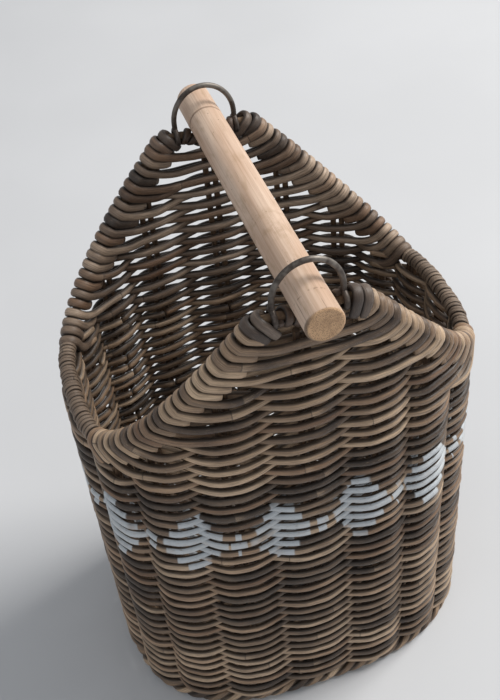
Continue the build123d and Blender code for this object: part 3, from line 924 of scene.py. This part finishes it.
def weave_base():
    """Courses along X that pass over and under the base sticks."""
    strands = Strands()
    inner_depth = WALL_HALF_DEPTH - BASE_EDGE
    inner_width = WALL_HALF_WIDTH - BASE_EDGE
    for number, y in enumerate(np.arange(-inner_depth + 3, inner_depth - 2, COURSE_PITCH)):
        share = (1 - abs(y / inner_depth) ** BASE_SQUARENESS) ** (1 / BASE_SQUARENESS)
        reach = inner_width * share - 1.0
        if reach < SHORTEST_BASE_COURSE:
            continue
        x = np.linspace(-reach, reach, max(6, int(2 * reach / 4)))
        wave = np.cos(math.pi * x / BASE_STICK_PITCH + math.pi * (number % 2))
        z = BASE_LEVEL + BASE_WAVE * np.clip(wave * 1.6, -1, 1)
        points = np.stack([x, np.full_like(x, y), z], axis=1)
        strands.add(points, np.tile(UP, (len(x), 1)), BASE_HALF_WIDTH, BASE_HALF_THICKNESS)
    return strands


# ---- pole ----
def pole_stations():
    """Places of the pole's rings along Y, close together on its rounded ends."""
    low, high = BAR_LOW[1], BAR_HIGH[1]
    quarter = np.linspace(0, math.pi / 2, 7)
    return np.concatenate([low + POLE_EDGE * (1 - np.cos(quarter)),
                           np.arange(low + 3.2, high - 2.6, POLE_STEP),
                           high - POLE_EDGE * (1 - np.sin(quarter))])


def pole_radii(stations, turn):
    """Radius for each ring and spoke: worn ends, the groove beside its swelling, uneven sides."""
    to_end = np.minimum(stations - BAR_LOW[1], BAR_HIGH[1] - stations)
    worn = np.sqrt(np.maximum(0, POLE_EDGE ** 2 - (POLE_EDGE - to_end) ** 2))
    rounding = np.where(to_end < POLE_EDGE, POLE_EDGE - worn, 0.0)
    groove = GROOVE_DEPTH * np.exp(-((stations - GROOVE_AT) / GROOVE_HALF_WIDTH) ** 2)
    swell = 0.25 * np.exp(-((stations - GROOVE_AT - 4) / 5) ** 2) - 0.25
    along = stations[:, None]
    uneven = 0.16 * np.sin(2 * turn + along / 60) \
        + 0.1 * np.sin(3 * turn - along / 37 + 1.0) \
        + 0.05 * np.sin(11 * turn + along / 90)
    radius = (BAR_HIGH[0] - BAR_LOW[0]) / 2 - 0.1
    smooth = radius + swell[:, None] - rounding[:, None] - groove[:, None]
    return smooth + np.minimum(uneven, 0.1) * np.clip(to_end / 3, 0, 1)[:, None]


def ring_faces(near, far):
    """Quads between two rings of vertex numbers."""
    return list(zip(near, near[1:] + near[:1], far[1:] + far[:1], far))


def close_end(verts, faces, edge, inwards, centre, turn):
    """Slightly rough flat end inside an edge ring of vertex numbers."""
    outline = [verts[index] for index in edge]
    for shrink in POLE_END_RINGS:
        inner = list(range(len(verts), len(verts) + POLE_SPOKES))
        for (x, y, z), angle in zip(outline, turn):
            depth = max(0.0, 0.12 * math.sin(7 * angle + 9 * shrink))
            verts.append((centre[0] + (x - centre[0]) * shrink, y + inwards * depth,
                          centre[2] + (z - centre[2]) * shrink))
        faces += [face if inwards < 0 else face[::-1] for face in ring_faces(edge, inner)]
        edge = inner
    faces.append(tuple(edge) if inwards < 0 else tuple(edge[::-1]))


def turned_pole(name, material):
    """Peeled pole with slightly uneven sides, worn ends and a groove at one joint of the cane."""
    centre = (BAR_LOW + BAR_HIGH) / 2
    stations = pole_stations()
    turn = np.arange(POLE_SPOKES) / POLE_SPOKES * TURN
    radii = pole_radii(stations, turn)
    x = centre[0] + radii * np.cos(turn)
    z = centre[2] + radii * np.sin(turn)
    y = np.broadcast_to(stations[:, None], x.shape)
    verts = np.stack([x, y, z], axis=2).reshape(-1, 3).tolist()
    rings = np.arange(len(verts)).reshape(-1, POLE_SPOKES).tolist()
    faces = [face for near, far in zip(rings, rings[1:]) for face in ring_faces(near, far)]
    close_end(verts, faces, rings[0], 1, centre, turn)
    close_end(verts, faces, rings[-1], -1, centre, turn)
    mesh = bpy.data.meshes.new(name)
    mesh.from_pydata((np.array(verts) * MM).tolist(), [], faces)
    mesh.polygons.foreach_set("use_smooth", np.ones(len(mesh.polygons), bool))
    pole = bpy.data.objects.new(name, mesh)
    place(pole, "handle_bar", material, "pole_wood", "handle_bar")


# ---- setting ----
FLOOR_REACH = 6.0  # metres
CAMERA_PLACE = (-0.1618, -0.5936, 0.9019)
CAMERA_YAW, CAMERA_PITCH, CAMERA_ROLL = -0.250, 0.743, -0.102
CAMERA_LENS, CAMERA_SHIFT = 54.17, -0.0243


def make_floor():
    mesh = bpy.data.meshes.new("floor")
    corners = [(x * FLOOR_REACH, y * FLOOR_REACH, 0) for x, y in ((-1, -1), (1, -1), (1, 1), (-1, 1))]
    mesh.from_pydata(corners, [], [(0, 1, 2, 3)])
    floor = bpy.data.objects.new("floor", mesh)
    bpy.context.scene.collection.objects.link(floor)
    shade = Shade("pale_floor", Specular_IOR_Level=0.2)
    cloud = shade.noise(shade.place(), 2.2, 3.0)
    shade.colour(shade.mix(shade.ramp(cloud, 0.3, 0.7), paint(199, 200, 202), paint(204, 205, 207)))
    shade.roughness(0.6, cloud, 0.1)
    floor.data.materials.append(shade.material)


def area_light(name, spot, target, size, power, colour):
    data = bpy.data.lights.new(name, "AREA")
    data.shape = "RECTANGLE"
    data.size, data.size_y = size
    data.energy = power
    data.color = colour
    light = bpy.data.objects.new(name, data)
    light.location = spot
    light.rotation_euler = (Vector(target) - Vector(spot)).to_track_quat("-Z", "Y").to_euler()
    bpy.context.scene.collection.objects.link(light)


def make_light():
    world = bpy.data.worlds.new("studio")
    world.use_nodes = True
    world.node_tree.nodes["Background"].inputs[0].default_value = (0.93, 0.96, 1.0, 1.0)
    world.node_tree.nodes["Background"].inputs[1].default_value = 0.44
    bpy.context.scene.world = world
    area_light("window", (3.0, 0.3, 3.6), (0, 0, 0.3), (2.0, 2.0), 225.0, (1.0, 0.98, 0.95))
    area_light("fill", (-2.2, -2.2, 2.2), (0, 0, 0.3), (2.6, 2.6), 12.0, (0.94, 0.97, 1.0))


def make_camera():
    """The camera of the photograph: turned a little to the right of +Y, down, and rolled."""
    yaw, pitch, roll = CAMERA_YAW, CAMERA_PITCH, CAMERA_ROLL
    forward = Vector((-math.sin(yaw) * math.cos(pitch),
                      math.cos(yaw) * math.cos(pitch), -math.sin(pitch)))
    right = Vector((math.cos(yaw), math.sin(yaw), 0.0))
    up = right.cross(forward)
    rolled_right = right * math.cos(roll) + up * math.sin(roll)
    rolled_up = up * math.cos(roll) - right * math.sin(roll)
    data = bpy.data.cameras.new("camera")
    data.sensor_width = 36.0
    data.lens = CAMERA_LENS
    data.shift_y = CAMERA_SHIFT
    data.clip_start, data.clip_end = 0.05, 40.0
    camera = bpy.data.objects.new("camera", data)
    turn = Matrix((rolled_right, rolled_up, -forward)).transposed()
    camera.matrix_world = Matrix.Translation(CAMERA_PLACE) @ turn.to_4x4()
    bpy.context.scene.collection.objects.link(camera)
    bpy.context.scene.camera = camera


# ---- the whole basket ----
def finish_nodes(material, *names):
    """A procedural material on CAD nodes that are shown as they are."""
    for name in names:
        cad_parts[name].data.materials.clear()
        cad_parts[name].data.materials.append(material)


def weave_walls(woven):
    """The body's courses and the short ones under the side rims; returns where the gables begin."""
    heights = course_heights()
    closed = int(np.searchsorted(heights, GABLE_COURSES_FROM))
    side_top = int(np.searchsorted(heights, LOW_RIM - 8.0))
    even, odd = weave_body(heights[:closed])
    even.piece("even_courses", woven, "woven_strand", "body_weave")
    odd.piece("odd_courses", woven, "woven_strand", "body_weave")
    sides = weave_sides(heights[closed:side_top], closed)
    sides.piece("side_courses", woven, "woven_strand")
    return heights[closed], closed


def build():
    woven = rattan("woven_rattan", (62, 49, 38), (138, 114, 91), (202, 175, 146), painted=True)
    rims = rattan("rim_rattan", (68, 53, 42), (154, 127, 101), (216, 187, 155))
    shaded_rims = rattan("shaded_rim_rattan", (56, 45, 37), (124, 104, 87), (186, 162, 139))
    dark = rattan("saddle_rattan", (44, 36, 31), (78, 66, 58), (110, 96, 84))
    straps = rattan("strap_rattan", (58, 47, 40), (108, 93, 81), (148, 131, 116))
    lashing = rattan("fine_lashing", (66, 53, 43), (122, 103, 86), (172, 150, 128))
    stakes = plain_rattan("stake_rattan", (58, 44, 34), (112, 88, 66), (420.0, 420.0, 26.0))
    rods = plain_rattan("rod_rattan", (70, 54, 42), (126, 102, 78), (160.0, 160.0, 160.0))

    gable_canes = {"front": rims, "rear": shaded_rims}
    first_height, first_number = weave_walls(woven)
    for name in GABLES:
        gable = weave_gable(name, first_height, first_number)
        gable.piece(f"{name}_gable_courses", gable_canes[name], "woven_strand",
                    f"{name}_gable_weave", f"{name}_left_slope_wrap", f"{name}_right_slope_wrap")
        peak, beside = wrap_peak(name), strap_hoop(name)
        peak.piece(f"{name}_saddle_wraps", dark, "lashing_strand", f"{name}_saddle_lashing")
        beside.piece(f"{name}_hoop_straps", straps, "lashing_strand", f"{name}_hoop_lashings")
    for name in SIDES:
        lash_side_rim(name).piece(f"{name}_rim_winding", lashing, "rim_strand", f"{name}_rim_lashing")
    foot_rope().piece("foot_rope", rims, "foot_strand", "foot_border")
    weave_base().piece("base_courses", rims, "woven_strand", "base_weave")
    turned_pole("pole", pole_wood())

    finish_nodes(forged_iron(), "front_hoop", "rear_hoop")
    walls = (*GABLES, *SIDES, "corner")
    finish_nodes(stakes, "base_sticks", *(f"{wall}_stakes" for wall in walls))
    finish_nodes(rods, "base_frame_rod", *(f"{side}_rim_rod" for side in SIDES))
    for gable in GABLES:
        slopes = (f"{gable}_{side}_slope_rod" for side in SIDES)
        finish_nodes(rods, f"{gable}_peak_rod", *slopes)


build()
make_floor()
make_light()
make_camera()
bpy.context.scene.view_settings.view_transform = "Standard"
